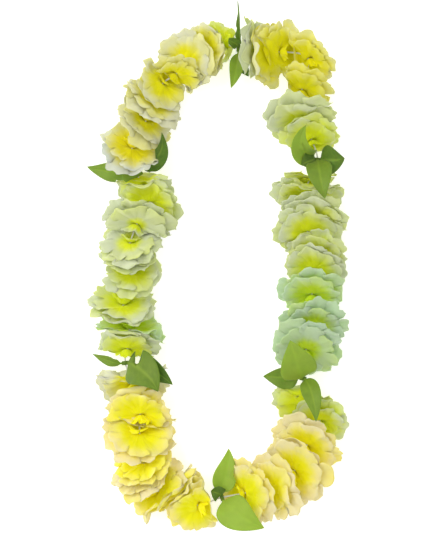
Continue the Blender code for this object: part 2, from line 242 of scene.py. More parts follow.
class LeiStage(bpy.types.PropertyGroup):
    """Camera and light."""
    distance: length_prop("Camera Distance", "Camera height above the cord", 3.0)
    floor_size: length_prop("Floor Size", "Side of the floor", 24.0)
    key: FloatProperty(name="Key Light", description="Power of the large soft light", default=17.0,
                       unit="POWER", subtype="POWER")
    fill: share_prop("Fill", "Strength of the even light from all round", 0.82)


def cloth():
    return bpy.context.scene.lei_cloth


def colours():
    return bpy.context.scene.lei_colours


# Small helpers for places, directions and curves

def place(x, y, height=CORD_HEIGHT):
    """A point on the cord from a place in mm."""
    return Vector((x * MM + CENTRE_SHIFT[0], y * MM + CENTRE_SHIFT[1], height))


def front_direction(turn, lift):
    """The way an open front points, from its turn round +Z and its lift, both in degrees."""
    turn, lift = math.radians(turn), math.radians(lift)
    flat = math.cos(lift)
    return Vector((flat * math.cos(turn), flat * math.sin(turn), math.sin(lift)))


def curve_point(points, where):
    """A point on the smooth curve through all points, where = 0 at the first and 1 at the last."""
    step = where * (len(points) - 1)
    index = min(int(step), len(points) - 2)
    part = step - index
    a = points[max(index - 1, 0)]
    b, c = points[index], points[index + 1]
    d = points[min(index + 2, len(points) - 1)]
    slope_b, slope_c = (c - a) / 2, (d - b) / 2
    square, cube = part * part, part ** 3
    return (b * (2 * cube - 3 * square + 1) + slope_b * (cube - 2 * square + part)
            + c * (3 * square - 2 * cube) + slope_c * (cube - square))


def smooth(x):
    """0 below 0, 1 above 1, and an even rise between them."""
    x = np.clip(x, 0, 1)
    return x * x * (3 - 2 * x)


def unit(rows):
    """Each row at length 1."""
    return rows / (np.linalg.norm(rows, axis=1, keepdims=True) + 1e-9)


def threaded_pieces():
    """All pieces on the cord as dictionaries, with their place, front and the cord's direction."""
    pieces = []
    for row in THREADED:
        if isinstance(row[0], str):
            pieces.append({"leaf": row[0], "centre": place(row[1], row[2]), "leans": row[3:]})
        else:
            x, y, turn, lift, radius, dye, rim = row
            pieces.append({"leaf": None, "centre": place(x, y), "front": front_direction(turn, lift),
                           "radius": radius * MM, "dye": dye * MM, "rim": rim})
    for index, piece in enumerate(pieces):
        before = pieces[index - 1]["centre"]
        after = pieces[(index + 1) % len(pieces)]["centre"]
        piece["along"] = (after - before).normalized()
    return pieces


# The surfaces that part neighbours on the cord: leaning planes that sway a little to either side

LEAF_PLANE_SHARE = 0.55          # the way from a blossom to the plane that parts it from a leaf spray
RIM_OVERLAP = 6.0 * MM           # a leaf may lie over this much of its neighbour's rim
LEAST_LEAN = 0.75                # a plane leans at least this much for 1 up, so that one blossom lies on top
WAVE_HEIGHT = 1.5 * MM
WAVE_START = 16.0 * MM           # a surface sways fully from this far out
WAVES = ((19.0 * MM, 2.4, 1.0), (12.0 * MM, 1.3, 0.7))   # length, turn from pair to pair, share


def plane_between(first, second):
    """The plane that parts two neighbours: a point and a normal that points along the cord."""
    gap = (second["centre"] - first["centre"]).normalized()
    if first["leaf"] or second["leaf"]:
        lean = -first["leans"][1] if first["leaf"] else second["leans"][0]
        share = 1 - LEAF_PLANE_SHARE if first["leaf"] else LEAF_PLANE_SHARE
        lean = math.radians(lean)
        normal = gap * math.cos(lean) + Vector((0, 0, math.sin(lean)))
        return first["centre"].lerp(second["centre"], share), normal
    normal = gap.copy()
    for front in (first["front"], second["front"]):
        normal += front if front.dot(gap) > 0 else -front
    normal /= normal.xy.length
    if abs(normal.z) < LEAST_LEAN:
        normal.z = math.copysign(LEAST_LEAN, normal.z)
    return first["centre"].lerp(second["centre"], 0.5), normal.normalized()


def neighbour_planes(pieces, index):
    """The planes that part a piece from the others near it, nearest first.

    side is -1 before the piece and 1 after it, and reach is how far the neighbour keeps the piece away.
    """
    piece, count = pieces[index], len(pieces)
    planes = []
    for step in ((0, -1) if piece["leaf"] else (0, -1, 1, -2)):
        first = (index + step) % count
        neighbour = pieces[first if step < 0 else (first + 1) % count]
        stand, normal = plane_between(pieces[first], pieces[(first + 1) % count])
        planes.append({"side": -1 if step < 0 else 1, "stand": np.array(stand), "normal": np.array(normal),
                       "centre": np.array(neighbour["centre"]), "number": first,
                       "reach": neighbour["radius"] - RIM_OVERLAP if piece["leaf"] else math.inf})
    return planes


def past_plane(points, plane):
    """How far points are past the swaying surface that parts a piece from its neighbour."""
    normal = plane["normal"]
    away = points - plane["stand"]
    across = np.cross(normal, (0.0, 0.0, 1.0))
    across /= np.linalg.norm(across)
    up = np.cross(across, normal)
    sway = sum(share * np.sin(away @ way * math.tau / length + turn * plane["number"])
               for way, (length, turn, share) in zip((across, up), WAVES))
    sway *= WAVE_HEIGHT * smooth(np.linalg.norm(away, axis=1) / WAVE_START)
    return plane["side"] * (away @ normal - sway)


def cord_stops(pieces):
    """Where the cord runs: from one side of the knot, through every piece, to its other side."""
    knot = place(*KNOT_PLACE)
    reach = Vector((KNOT_REACH, 0, 0))
    return [knot - reach] + [piece["centre"] for piece in pieces] + [knot + reach]


# Small helpers for objects and materials

def deselect():
    bpy.ops.object.select_all(action="DESELECT")


def select_only(piece):
    deselect()
    piece.select_set(True)
    bpy.context.view_layer.objects.active = piece


def apply_modifier(piece, kind, **settings):
    """Adds a modifier and applies it."""
    modifier = piece.modifiers.new(kind.lower(), kind)
    for name, value in settings.items():
        setattr(modifier, name, value)
    select_only(piece)
    bpy.ops.object.modifier_apply(modifier=modifier.name)


def vertex_array(mesh):
    """All vertex places of a mesh as an array."""
    flat = np.empty(len(mesh.vertices) * 3)
    mesh.vertices.foreach_get("co", flat)
    return flat.reshape(-1, 3)


def set_vertices(mesh, points):
    """Writes all vertex places of a mesh."""
    mesh.vertices.foreach_set("co", np.ascontiguousarray(points, dtype=np.float32).ravel())
    mesh.update()


def set_attribute(mesh, name, values):
    """Writes one number for each vertex."""
    attribute = mesh.attributes.new(name, "FLOAT", "POINT")
    attribute.data.foreach_set("value", np.ascontiguousarray(values, dtype=np.float32))


def take_attribute(mesh, name):
    """Reads the number of each vertex and removes the attribute."""
    values = np.empty(len(mesh.vertices), dtype=np.float32)
    mesh.attributes[name].data.foreach_get("value", values)
    mesh.attributes.remove(mesh.attributes[name])
    return values.astype(float)


def set_uv(mesh, layer, flat):
    """Writes each vertex's place on the flat cut into a UV map."""
    corners = np.empty(len(mesh.loops), dtype=np.int32)
    mesh.loops.foreach_get("vertex_index", corners)
    layer.data.foreach_set("uv", flat[corners].astype(np.float32).ravel())


def finish_piece(piece, material, slot, *nodes):
    """Gives a piece its material and its body, and hides the CAD nodes that it stands for. Its slot is not
    used.
    """
    piece.data.materials.clear()
    piece.data.materials.append(material)
    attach(piece, BODY)
    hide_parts(*nodes)


def add_node(tree, kind, links=(), **settings):
    """Adds a node. Settings are its own properties, links its inputs as numbers or other nodes' outputs."""
    made = tree.nodes.new(kind)
    for name, value in settings.items():
        setattr(made, name, value)
    for socket, value in dict(links).items():
        if isinstance(value, bpy.types.NodeSocket):
            tree.links.new(value, made.inputs[socket])
        else:
            made.inputs[socket].default_value = value
    return made


def new_material(name, roughness, specular=0.5, ior=1.46, **sockets):
    """A material with one Principled shader and its constant sockets."""
    material = bpy.data.materials.new(name)
    material.use_nodes = True
    shader = material.node_tree.nodes["Principled BSDF"]
    shader.inputs["Roughness"].default_value = roughness
    shader.inputs["Specular IOR Level"].default_value = specular
    shader.inputs["IOR"].default_value = ior
    for socket, value in sockets.items():
        shader.inputs[socket.replace("_", " ").title()].default_value = value
    return material, material.node_tree, shader


CUT_SPAN = 80.0 * MM             # the cut's flat map is this wide, so that patterns keep their real size
WEAVE_PITCH = 1.1                # mm; the real threads lie 0.25 mm apart, too fine to show
WAVE_TURN = math.tau / 20        # a wave texture's lines lie this far apart at a scale of 1
BLOTCH_SIZE = 7.0                # mm, the dye's uneven edge
BLOTCH_SHARE = 0.55              # how far a blotch moves the fade, against the dye's reach
DYE_FADE = (0.85, 1.85)          # from where to where the dye fades, with its blotches added
HALF_DYED = 0.45                 # the dye's share in the rim of a fully tinted petal
PLEAT_WIDTH, PLEAT_LENGTH = 2.2, 12.0    # mm, the fine pleats pressed into a petal
COMMON_RADIUS = 30.0             # mm, most blossoms', for the pleats' count along a petal
PLEAT_RADIUS = 21.0              # mm, where their count round the disc is taken


def petal_material(rim):
    """Polyester taffeta, cut hot and dip-dyed: thin, matt and let through by light, yellow in the middle.

    The eye sees soft colour that runs out from the centre, with faint pleats and a fine weave.
    """
    dyes = colours()
    material, tree, shader = new_material(
        f"dip_dyed_taffeta_{rim}", roughness=0.8, specular=0.2,
        sheen_weight=0.15, sheen_roughness=0.45, subsurface_weight=1.0, subsurface_scale=0.4 * MM)
    shader.inputs["Subsurface Radius"].default_value = (1.0, 1.0, 0.8)
    cut = add_node(tree, "ShaderNodeUVMap", uv_map="cut").outputs["UV"]
    petal = add_node(tree, "ShaderNodeUVMap", uv_map="petal").outputs["UV"]
    dye = add_node(tree, "ShaderNodeAttribute", attribute_name="dye").outputs["Fac"]
    tint = add_node(tree, "ShaderNodeAttribute", attribute_name="tint").outputs["Fac"]
    blotch = add_node(tree, "ShaderNodeTexNoise",
                      {"Vector": cut, "Scale": CUT_SPAN / MM / BLOTCH_SIZE, "Detail": 2.0})
    uneven = add_node(tree, "ShaderNodeMath", {0: blotch.outputs["Fac"], 1: BLOTCH_SHARE, 2: dye},
                      operation="MULTIPLY_ADD")
    fade = add_node(tree, "ShaderNodeMapRange",
                    {"Value": uneven.outputs[0], "From Min": DYE_FADE[0], "From Max": DYE_FADE[1]},
                    interpolation_type="SMOOTHSTEP")
    rim_colour, dyed = getattr(dyes, rim), getattr(dyes, f"{rim}_dye")
    half_dyed = [(1 - HALF_DYED) * a + HALF_DYED * b for a, b in zip(rim_colour, dyed)]
    rims = add_node(tree, "ShaderNodeMix", {"Factor": tint, 6: (*rim_colour, 1), 7: (*half_dyed, 1)},
                    data_type="RGBA")
    colour = add_node(tree, "ShaderNodeMix",
                      {"Factor": fade.outputs[0], 6: (*dyed, 1), 7: rims.outputs[2]}, data_type="RGBA")
    tree.links.new(colour.outputs[2], shader.inputs["Base Color"])
    threads = []
    for direction in ("X", "Y"):
        wave = add_node(tree, "ShaderNodeTexWave",
                        {"Vector": cut, "Scale": CUT_SPAN / MM / WEAVE_PITCH * WAVE_TURN},
                        bands_direction=direction)
        threads.append(wave.outputs["Fac"])
    weave = add_node(tree, "ShaderNodeMath", {0: threads[0], 1: threads[1]}, operation="ADD")
    pleat_scale = (math.tau * PLEAT_RADIUS / PLEAT_WIDTH, COMMON_RADIUS / PLEAT_LENGTH, 1.0)
    long_way = add_node(tree, "ShaderNodeMapping", {"Vector": petal, "Scale": pleat_scale})
    pleats = add_node(tree, "ShaderNodeTexNoise",
                      {"Vector": long_way.outputs[0], "Scale": 1.0, "Detail": 1.0})
    weave_bump = add_node(tree, "ShaderNodeBump", {"Height": weave.outputs[0], "Strength": 0.10,
                                                   "Distance": 0.05 * MM})
    bump = add_node(tree, "ShaderNodeBump", {"Height": pleats.outputs["Fac"], "Strength": 0.35,
                                             "Distance": 0.8 * MM, "Normal": weave_bump.outputs[0]})
    tree.links.new(bump.outputs[0], shader.inputs["Normal"])
    return material


MOTTLE_SIZE = 9.0                # mm, uneven green
MOTTLE_SHARE = 0.35              # how far the mottle moves a leaf's tone
MOTTLE_MIDDLE = 0.17             # taken off again, so that the mottle lightens as much as it darkens
VEIN_SHARE = 0.35                # how much paler a vein is, of the way to the lightest green
GRAIN_SIZE = 0.7                 # mm; the real satin is finer, too fine to show


def leaf_material():
    """Polyester satin with a green coat, stamped with veins between hot dies: satin and a little waxy.

    The eye sees a light midrib, paler side veins and a darker green between them.
    """
    dyes = colours()
    material, tree, shader = new_material(
        "stamped_leaf_satin", roughness=0.55, specular=0.4,
        sheen_weight=0.1, subsurface_weight=0.35, subsurface_scale=1.2 * MM)
    shader.inputs["Subsurface Radius"].default_value = (0.5, 1.0, 0.2)
    cut = add_node(tree, "ShaderNodeUVMap", uv_map="cut").outputs["UV"]
    tone = add_node(tree, "ShaderNodeAttribute", attribute_name="tone").outputs["Fac"]
    vein = add_node(tree, "ShaderNodeAttribute", attribute_name="vein").outputs["Fac"]
    dark, light = (*dyes.leaf_dark, 1), (*dyes.leaf_light, 1)
    mottle = add_node(tree, "ShaderNodeTexNoise",
                      {"Vector": cut, "Scale": CUT_SPAN / MM / MOTTLE_SIZE, "Detail": 3.0})
    shade = add_node(tree, "ShaderNodeMath", {0: mottle.outputs["Fac"], 1: MOTTLE_SHARE, 2: tone},
                     operation="MULTIPLY_ADD")
    level = add_node(tree, "ShaderNodeMath", {0: shade.outputs[0], 1: MOTTLE_MIDDLE},
                     operation="SUBTRACT", use_clamp=True)
    green = add_node(tree, "ShaderNodeMix", {"Factor": level.outputs[0], 6: dark, 7: light},
                     data_type="RGBA")
    veined = add_node(tree, "ShaderNodeMath", {0: vein, 1: VEIN_SHARE}, operation="MULTIPLY")
    colour = add_node(tree, "ShaderNodeMix", {"Factor": veined.outputs[0], 6: green.outputs[2], 7: light},
                      data_type="RGBA")
    tree.links.new(colour.outputs[2], shader.inputs["Base Color"])
    grain = add_node(tree, "ShaderNodeTexNoise",
                     {"Vector": cut, "Scale": CUT_SPAN / MM / GRAIN_SIZE, "Detail": 2.0})
    bump = add_node(tree, "ShaderNodeBump", {"Height": grain.outputs["Fac"], "Strength": 0.15,
                                             "Distance": 0.15 * MM})
    tree.links.new(bump.outputs[0], shader.inputs["Normal"])
    return material


def speckle(tree, shader, colour, dull, size, detail):
    """Gives a shader a colour that is duller in spots of a size in mm. Its result is the spots' pattern."""
    spot = add_node(tree, "ShaderNodeTexCoord").outputs["Object"]
    noise = add_node(tree, "ShaderNodeTexNoise",
                     {"Vector": spot, "Scale": 1 / (size * MM), "Detail": detail})
    dulled = tuple(dull * c for c in colour)
    mixed = add_node(tree, "ShaderNodeMix", {"Factor": noise.outputs["Fac"], 6: (*dulled, 1),
                                             7: (*colour, 1)}, data_type="RGBA")
    tree.links.new(mixed.outputs[2], shader.inputs["Base Color"])
    return noise.outputs["Fac"]


def cord_material():
    """Twisted cotton yarn: matt, with a fine fibre bump along each strand and painted shade in the hollows of
    that bump.
    """
    material, tree, shader = new_material("twisted_cotton", roughness=0.9, ior=1.5,
                                          specular=0.2, sheen_weight=0.4)
    # Painted shade: the same noise is the fibre bump, and its hollows get the duller grey.
    fibre_bump_and_shade = speckle(tree, shader, colours().cord, dull=0.72, size=0.4, detail=3.0)
    bump = add_node(tree, "ShaderNodeBump", {"Height": fibre_bump_and_shade, "Strength": 0.4, "Distance": 0.1 * MM})
    tree.links.new(bump.outputs[0], shader.inputs["Normal"])
    return material


def tube_material():
    """Extruded polyethylene straw cut to length: satin, milky and a little cloudy."""
    material, tree, shader = new_material("milky_polyethylene", roughness=0.38, ior=1.51,
                                          subsurface_weight=0.3, subsurface_scale=1.0 * MM)
    speckle(tree, shader, colours().tube, dull=0.85, size=2.5, detail=2.0)
    return material


def floor_material():
    """White acrylic of a light table: matt, with the faintest grain, and lit a little from below."""
    material, tree, shader = new_material("light_table_acrylic", roughness=0.95, specular=0.1,
                                          emission_color=(1.0, 1.0, 1.0, 1.0), emission_strength=0.5)
    speckle(tree, shader, colours().floor, dull=0.985, size=3.0, detail=2.0)
    return material


# The blossoms' cloth discs: strips of petals, bent round into a disc and then shaped

PETAL_COLUMNS = 12               # faces across a petal
PETAL_ROWS, HEART_ROWS = 18, 10  # faces from the hole to the rim
INNER_EDGE = 0.05                # the hole's edge, as a share of the radius
CLOSE = 1e-4                     # what counts as the same place on a cut, whose radius is 1


def slit_strip(petals, rows):
    """A flat strip of cloth, 2 wide and high, slit between its petals from a part of its height on."""
    slit = cloth().slit
    deselect()
    bpy.ops.mesh.primitive_grid_add(x_subdivisions=petals * PETAL_COLUMNS, y_subdivisions=rows, size=2)
    strip = bpy.context.object
    strip.data.uv_layers[0].name = "petal"
    bpy.ops.object.mode_set(mode="EDIT")
    bpy.ops.mesh.select_mode(type="EDGE")
    bpy.ops.mesh.select_all(action="DESELECT")
    bm = bmesh.from_edit_mesh(strip.data)
    for edge in bm.edges:
        a, b = (vertex.co for vertex in edge.verts)
        across = (a.x + 1) / 2 * petals
        lowest = (min(a.y, b.y) + 1) / 2
        upright = abs(a.x - b.x) < CLOSE
        edge.select_set(upright and abs(across - round(across)) < 10 * CLOSE and lowest > slit)
    bmesh.update_edit_mesh(strip.data)
    bpy.ops.mesh.edge_split(type="EDGE")
    bpy.ops.object.mode_set(mode="OBJECT")
    return strip


def petal_places(mesh, petals):
    """For each vertex of a strip its petal's number, its place across that petal, and how far out it is."""
    points = vertex_array(mesh)
    middle, count = np.zeros(len(points)), np.zeros(len(points))
    for polygon in mesh.polygons:
        for vertex in polygon.vertices:
            middle[vertex] += polygon.center.x
            count[vertex] += 1
    middle = (middle / count + 1) / 2 * petals
    which = np.clip(np.floor(middle + CLOSE), 0, petals - 1)
    across = (points[:, 0] + 1) / 2 * petals - which - 0.5
    return {"which": which, "across": across, "out": INNER_EDGE + (1 - INNER_EDGE) * (points[:, 1] + 1) / 2}


def join_ends(mesh):
    """Merges the bent strip's two ends between the hole and the slits, and turns its faces up."""
    limit = INNER_EDGE + (1 - INNER_EDGE) * cloth().slit
    bpy.ops.object.mode_set(mode="EDIT")
    bpy.ops.mesh.select_mode(type="VERT")
    bpy.ops.mesh.select_all(action="DESELECT")
    bm = bmesh.from_edit_mesh(mesh)
    for vertex in bm.verts:
        vertex.select_set(vertex.co.length < limit and abs(vertex.co.y) < CLOSE / 10 and vertex.co.x > 0)
    bmesh.update_edit_mesh(mesh)
    bpy.ops.mesh.remove_doubles(threshold=CLOSE)
    bpy.ops.mesh.select_all(action="SELECT")
    bpy.ops.mesh.flip_normals()
    bpy.ops.object.mode_set(mode="OBJECT")
    mesh.shade_smooth()


def round_way(cut, spread=1):
    """The angle round the disc at which each vertex lies, with petals widened by spread."""
    return (cut["which"] + 0.5 + cut["across"] * spread) / cut["petals"] * math.tau


def cut_disc(petals, rows=PETAL_ROWS):
    """The flat cut of one disc with slits between its petals, ready to be copied and shaped."""
    disc = slit_strip(petals, rows)
    mesh = disc.data
    places = petal_places(mesh, petals)
    angle = round_way({"petals": petals, **places})
    out = places["out"]
    set_vertices(mesh, np.stack([out * np.cos(angle), out * np.sin(angle), np.zeros(len(out))], axis=1))
    for name, values in places.items():
        set_attribute(mesh, name, values)
    join_ends(mesh)
    cut = {name: take_attribute(mesh, name) for name in places}
    bpy.data.objects.remove(disc)
    return {**cut, "mesh": mesh, "petals": petals, "which": cut["which"].astype(int)}


# The blossoms' shape. A size with no unit is a share of the disc's radius.

OUTLINE_DROP, OUTLINE_POWER = 0.15, 3.5  # how much shorter a petal is at its corners, and how suddenly
OUTLINE_START, OUTLINE_END = 0.1, 0.6    # from where to where a petal's lines take on their own lengths
LOBE = 0.035                     # depth of the smaller lobes of a petal's rim
LOBE_COUNTS = (1.2, 3.2)         # fewest and most of them
SPREAD = 0.20                    # how far petals widen past their slits, to overlap
BEND_SPREAD = 0.11               # radians, how unevenly petals lean
LENGTH_SPREAD = 0.06             # how uneven their lengths are
SHINGLE, SHINGLE_SPREAD = 0.06, 0.4  # how far one edge of a petal lies over the next petal
TOOTH = 0.024                    # depth of the pinked rim
RUFFLES = ((3, 1.0), (5, 0.8), (9, 0.6), (14, 0.3))  # waves round the rim, and their share of the ruffle
FRILLS = ((19, 1.0), (26.03, 0.8))       # finer waves, which don't close round the disc
FRILL_SHARE = 0.12               # their share of the ruffle
CREASE, CREASE_WIDTH = 0.02, 0.09  # the crease down a petal's middle
PROFILE_STEPS = 60
CUP_START, CUP_END = 0.35, 0.55  # a petal leaves the hub at this share of its cup, and has all of it here
BEND_START = 0.45                # from here out a petal leans by its own bend

HUB_REACH = 8.0 * MM             # past its hub, a disc turns over this far to its own front
PRESS_PUSH, PRESS_SLIDE = 1.08, 0.4  # how far pressed cloth moves back and outwards, for 1 past a plane
PRESS_EASE = 3.0 * MM            # pressed cloth bends over about this far
NEAR_GAP, FAR_GAP = 0.5 * MM, 1.2 * MM   # from a plane, so that a blossom's own discs stay apart too
TABLE_GAP, TABLE_EASE = 0.6 * MM, 1.5 * MM   # cloth stays this far above the table, and bends this softly
TABLE_SLIDE = 0.6                # how far it slides outwards there, for 1 upwards

HEART = 2                        # a heart's number among a blossom's layers
LAYER_NAMES = ("outer", "inner", "heart")
HEART_EASE = 0.78                # how softly a heart is pressed, where a disc has 1
HEART_SQUASH = 3.0 * MM          # how far a heart may reach past the plane before it
HEART_TURN = 4.0                 # how much more a heart faces along the cord than its blossom does
HOOD_CUP = math.radians(70)      # a heart's upper side lies over the cord and hides it
HOOD_SQUASH = 4.5 * MM           # how far that side may reach past the plane before it
HOOD_SHARPNESS = 1.0             # more is a shorter way between a heart's lower and upper side


def disc_axes(front, spin):
    """The directions across a disc and its front, as the columns of a matrix."""
    front = np.array(front)
    level = np.array((0.0, 0.0, 1.0)) if abs(front[2]) < 0.95 else np.array((0.0, 1.0, 0.0))
    side = np.cross(level, front)
    side /= np.linalg.norm(side)
    up = np.cross(front, side)
    c, s = math.cos(spin), math.sin(spin)
    return np.stack([side * c + up * s, -side * s + up * c, front], axis=1)


def layer_radius(blossom, layer):
    """A layer's radius: 0 is the outer disc, 1 the inner disc and 2 the heart."""
    return blossom["radius"] * (1.0, cloth().inner_size, cloth().heart_size)[layer]


def draw_petals(draw, petals):
    """What differs from petal to petal of a disc, and where its ruffles start."""
    drawn = {
        "bend": draw.normal(0, BEND_SPREAD, petals),
        "longer": draw.normal(0, LENGTH_SPREAD, petals),
        "shingle": draw.normal(1, SHINGLE_SPREAD, petals) * SHINGLE,
        "phase": draw.uniform(0, math.tau, len(RUFFLES + FRILLS)),
        "lobes": draw.uniform(*LOBE_COUNTS, petals),
        "turns": draw.uniform(0, math.tau, petals),
        "tooth": draw.uniform(-1, 1, (petals, PETAL_COLUMNS + 1)) * TOOTH,
    }
    drawn["tooth"][:, ::2] -= TOOTH / 2
    return drawn


def petal_profile(cup, curl, bend):
    """How far a petal's line reaches outwards and upwards at each step along it, for a length of 1."""
    s = np.linspace(0, 1, PROFILE_STEPS)
    slope = cup * (CUP_START + (1 - CUP_START) * smooth(s / CUP_END)) - curl * s ** 3
    slope += bend * smooth((s - BEND_START) / (1 - BEND_START))
    step = 1 / (PROFILE_STEPS - 1)
    outwards = np.concatenate([[0], np.cumsum(np.cos(slope[1:]) * step)])
    upwards = np.concatenate([[0], np.cumsum(np.sin(slope[1:]) * step)])
    return s, outwards, upwards


def petal_lengths(cut, drawn, free):
    """How long the petals are on each vertex's line, with their rounded, lobed and pinked rim."""
    which, across, out = cut["which"], cut["across"], cut["out"]
    lobe = np.cos(drawn["lobes"][which] * across * math.tau + drawn["turns"][which])
    edge = np.abs(2 * across)
    outline = LOBE * lobe * (1 - edge ** 4) - OUTLINE_DROP * edge ** OUTLINE_POWER
    column = np.clip(np.round((across + 0.5) * PETAL_COLUMNS).astype(int), 0, PETAL_COLUMNS)
    tooth = np.where(out > 1 - CLOSE, drawn["tooth"][which, column], 0)
    own = smooth((out - OUTLINE_START) / (OUTLINE_END - OUTLINE_START))
    return 1 + outline * own + drawn["longer"][which] * free + tooth


def bend_petals(cut, cups, hood, drawn):
    """How far outwards and upwards each vertex lies, from the cup below and the cup of the hood's share."""
    out = cut["out"]
    reach, rise = np.zeros(len(out)), np.zeros(len(out))
    for petal in range(cut["petals"]):
        mine = cut["which"] == petal
        for share, cup in zip((1 - hood[mine], hood[mine]), cups):
            s, outwards, upwards = petal_profile(cup, cloth().curl, drawn["bend"][petal])
            reach[mine] += share * np.interp(out[mine], s, outwards)
            rise[mine] += share * np.interp(out[mine], s, upwards)
    return reach, rise


def ruffle_height(cut, drawn, angle, free):
    """How far ruffles, frills, overlaps and creases lift each vertex."""
    which, across, out = cut["which"], cut["across"], cut["out"]
    waves = [share * np.sin(count * angle + turn)
             for (count, share), turn in zip(RUFFLES + FRILLS, drawn["phase"])]
    wave, frill = sum(waves[:len(RUFFLES)]), sum(waves[len(RUFFLES):])
    height = cloth().ruffle * (wave * out ** 2 + FRILL_SHARE * frill * out ** 6)
    height += drawn["shingle"][which] * across * free * 2
    return height - CREASE * np.exp(-(across / CREASE_WIDTH) ** 2) * np.sin(math.pi * out)


def heart_cups(blossom, planes, facing, radius):
    """How steeply a heart opens below and above, so that the plane before it squashes it only a little."""
    before = next(plane for plane in planes if plane["side"] == facing)
    room = -past_plane(np.array([blossom["centre"]]), before)[0]
    low, high = (min(steepest, math.asin(min(max(room + squash, 0) / radius, 1)))
                 for steepest, squash in ((cloth().heart_cup, HEART_SQUASH), (HOOD_CUP, HOOD_SQUASH)))
    return low, max(low, high)


def eased(over, ease):
    """How far to push back a point that is over a surface: near 0 before it, and all of over well past it."""
    return (over + np.sqrt(over * over + ease * ease)) / 2


def press(points, centre, planes, gaps, softness):
    """Pushes cloth back behind its neighbours' planes and onto the table, letting it slide outwards."""
    for plane in planes:
        normal = plane["side"] * plane["normal"]
        over = eased(past_plane(points, plane) + gaps[plane["side"]], PRESS_EASE * softness)
        away = points - centre
        away = unit(away - np.outer(away @ normal, normal))
        slide = away * (PRESS_SLIDE * softness * over)[:, None]
        points = points - np.outer(PRESS_PUSH * over, normal) + slide
    under = eased(TABLE_GAP - points[:, 2], TABLE_EASE)
    points = points + unit((points - centre) * (1, 1, 0)) * (TABLE_SLIDE * under)[:, None]
    points[:, 2] += under
    return points


def shape_disc(cut, blossom, layer, planes):
    """Where every vertex of one disc lies, and how far out each is, as a share of the radius."""
    settings = cloth()
    radius = layer_radius(blossom, layer)
    facing = 1 if blossom["front"].dot(blossom["along"]) > 0 else -1
    cord_way = blossom["along"] * facing
    drawn = draw_petals(np.random.default_rng(blossom["number"] * 10 + layer), cut["petals"])
    free = smooth((cut["out"] - settings.slit) / (1 - settings.slit))
    length = petal_lengths(cut, drawn, free)
    angle = round_way(cut, 1 + SPREAD * free)
    front = blossom["front"] if layer < HEART else (blossom["front"] + cord_way * HEART_TURN).normalized()
    axes = disc_axes(front, blossom["spin"] + layer * math.pi / cut["petals"])
    if layer == HEART:
        cups = heart_cups(blossom, planes, facing, radius)
        hood = smooth(0.5 + HOOD_SHARPNESS * (np.cos(angle) * axes[2, 0] + np.sin(angle) * axes[2, 1]))
    else:
        cups = [(settings.outer_cup, settings.inner_cup)[layer]] * 2
        hood = np.zeros(len(angle))
    reach, rise = bend_petals(cut, cups, hood, drawn)
    reach *= length * radius
    rise = (rise * length + ruffle_height(cut, drawn, angle, free)) * radius
    local = np.stack([reach * np.cos(angle), reach * np.sin(angle), rise], axis=1)
    square = np.array(front.rotation_difference(cord_way).to_matrix())
    blend = smooth((reach - settings.hub) / HUB_REACH)[:, None]
    turned = local @ axes.T
    points = turned * blend + (turned @ square.T) * (1 - blend)
    centre = np.array(blossom["centre"] + cord_way * settings.layer_gap * (layer - 0.5))
    before, behind = (NEAR_GAP, FAR_GAP) if layer else (FAR_GAP, NEAR_GAP)
    gaps = {facing: before, -facing: behind}
    softness = HEART_EASE if layer == HEART else 1.0
    return press(points + centre, centre, planes, gaps, softness), length * cut["out"]


DYE_SPREAD = 0.1                 # how unevenly far blossoms are dyed


def make_disc(cut, blossom, layer, planes, materials):
    """One cloth disc of a blossom as a finished piece."""
    node = f"flower_{blossom['number']:02d}"
    piece = bpy.data.objects.new(f"{node}_{LAYER_NAMES[layer]}", cut["mesh"].copy())
    mesh = piece.data
    mesh.name = piece.name
    bpy.context.scene.collection.objects.link(piece)
    points, out = shape_disc(cut, blossom, layer, planes)
    reach = out * layer_radius(blossom, layer)
    angle = round_way(cut)
    flat = reach[:, None] * np.stack([np.cos(angle), np.sin(angle)], axis=1)
    set_uv(mesh, mesh.uv_layers.new(name="cut"), 0.5 + flat / CUT_SPAN)
    draw = np.random.default_rng(blossom["number"] * 10 + layer + 5)
    set_attribute(mesh, "dye", reach / (blossom["dye"] * draw.uniform(1 - DYE_SPREAD, 1 + DYE_SPREAD)))
    set_attribute(mesh, "tint", (draw.uniform(0, 1, cut["petals"]) ** 2)[cut["which"]] * out)
    set_vertices(mesh, points)
    apply_modifier(piece, "SOLIDIFY", thickness=cloth().thickness, offset=0.0)
    piece.data.shade_smooth()
    rim = blossom["rim"]
    finish_piece(piece, materials[rim], f"petal_{rim}", node)


RIMS = ("cream", "white", "green", "mint", "yellow")
SPIN_STEP = 1.7                  # radians that each blossom is turned further than the one before it


class LEI_OT_blossoms(bpy.types.Operator):
    """Make every blossom's cloth: two discs and a crumpled heart"""
    bl_idname = "lei.blossoms"
    bl_label = "Blossoms"

    def execute(self, context):
        settings = cloth()
        cuts = [cut_disc(settings.outer_petals), cut_disc(settings.inner_petals),
                cut_disc(settings.inner_petals, HEART_ROWS)]
        materials = {rim: petal_material(rim) for rim in RIMS}
        pieces = threaded_pieces()
        number = 0
        for index, piece in enumerate(pieces):
            if piece["leaf"]:
                continue
            number += 1
            piece["number"] = number
            piece["spin"] = number * SPIN_STEP
            planes = neighbour_planes(pieces, index)
            for layer, cut in enumerate(cuts):
                make_disc(cut, piece, layer, planes, materials)
        for cut in cuts:
            bpy.data.meshes.remove(cut["mesh"])
        return {"FINISHED"}


# The leaf sprays

